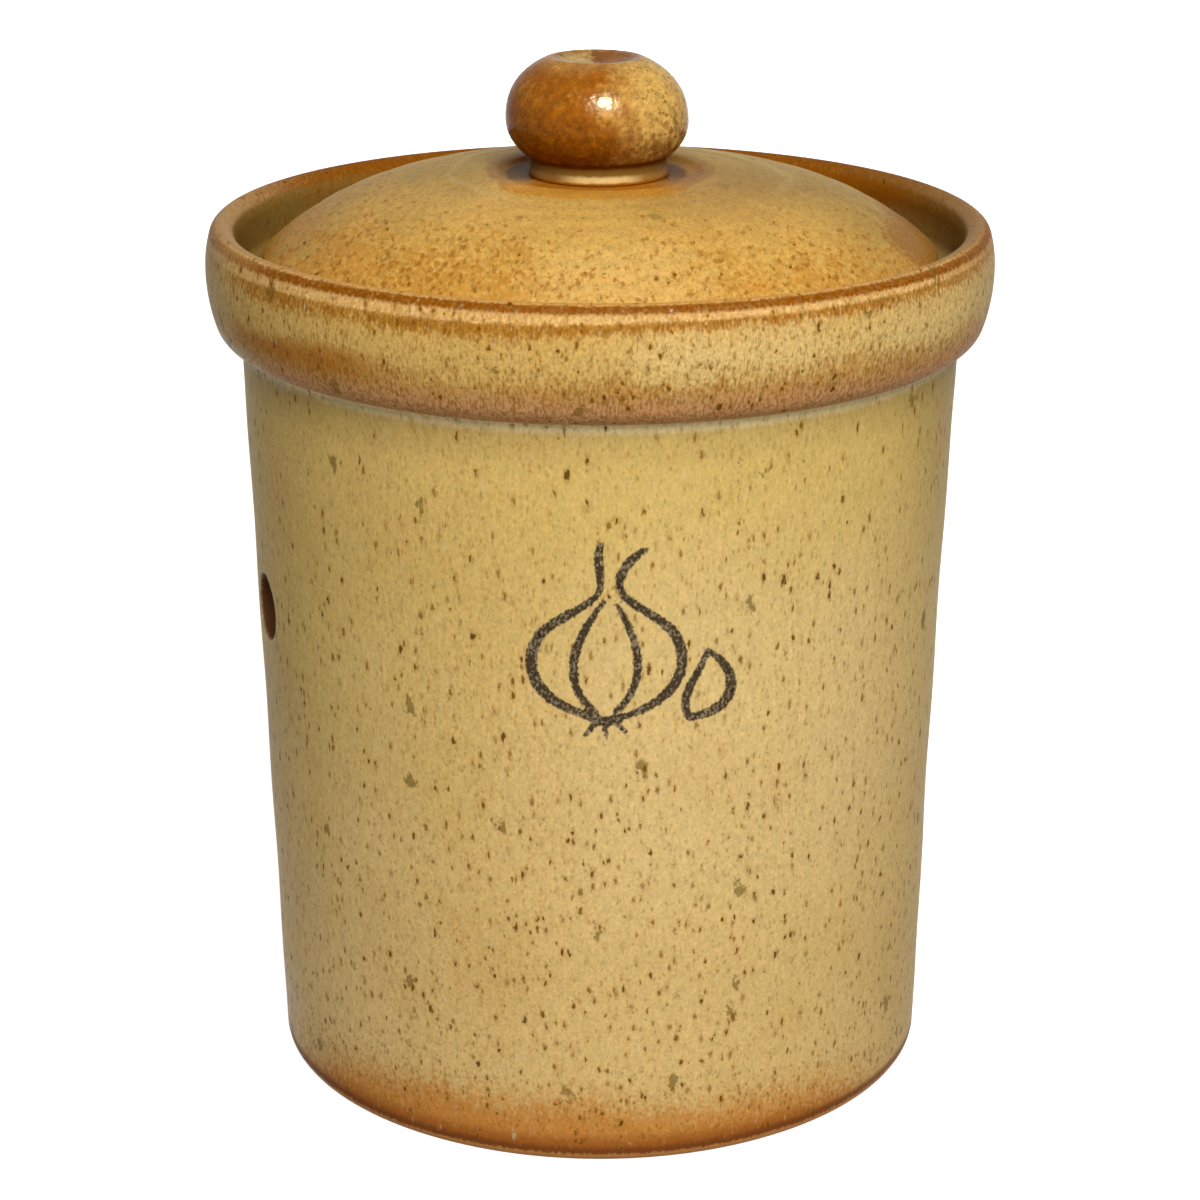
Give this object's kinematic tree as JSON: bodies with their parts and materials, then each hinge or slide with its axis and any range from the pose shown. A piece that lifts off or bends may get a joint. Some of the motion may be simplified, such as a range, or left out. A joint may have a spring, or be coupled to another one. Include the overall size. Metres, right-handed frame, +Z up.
{
  "type": "garlic keeper",
  "caption": "Stoneware garlic keeper: a round jar with a rolled collar and vent holes, a domed lid seated in a gallery inside the collar, and a ball knob.",
  "frame": {"origin": "centre of the foot, on the table", "axes": "+Z up along the axis of the jar, X through the two vent holes, -Y towards the decorated front"},
  "size_m": [0.126, 0.126, 0.1661],
  "materials": {
    "jar_glaze": "semi-gloss straw-olive glaze with iron specks, toasted brown at the lip, under the collar and at the foot",
    "lid_glaze": "semi-gloss straw-olive glaze with iron specks, rust toward the front of the rim",
    "knob_glaze": "glossy amber-brown glaze with a fine orange-peel surface, pale in the dimple"
  },
  "bodies": {
    "jar": {"jar": "jar_glaze"},
    "lid": {"lid": "lid_glaze", "knob": "knob_glaze"}
  },
  "joints": [
    {"name": "lid_lift", "type": "slide", "parent": "jar", "child": "lid", "axis": [0, 0, 1], "range_m": [0, 0.06]}
  ]
}
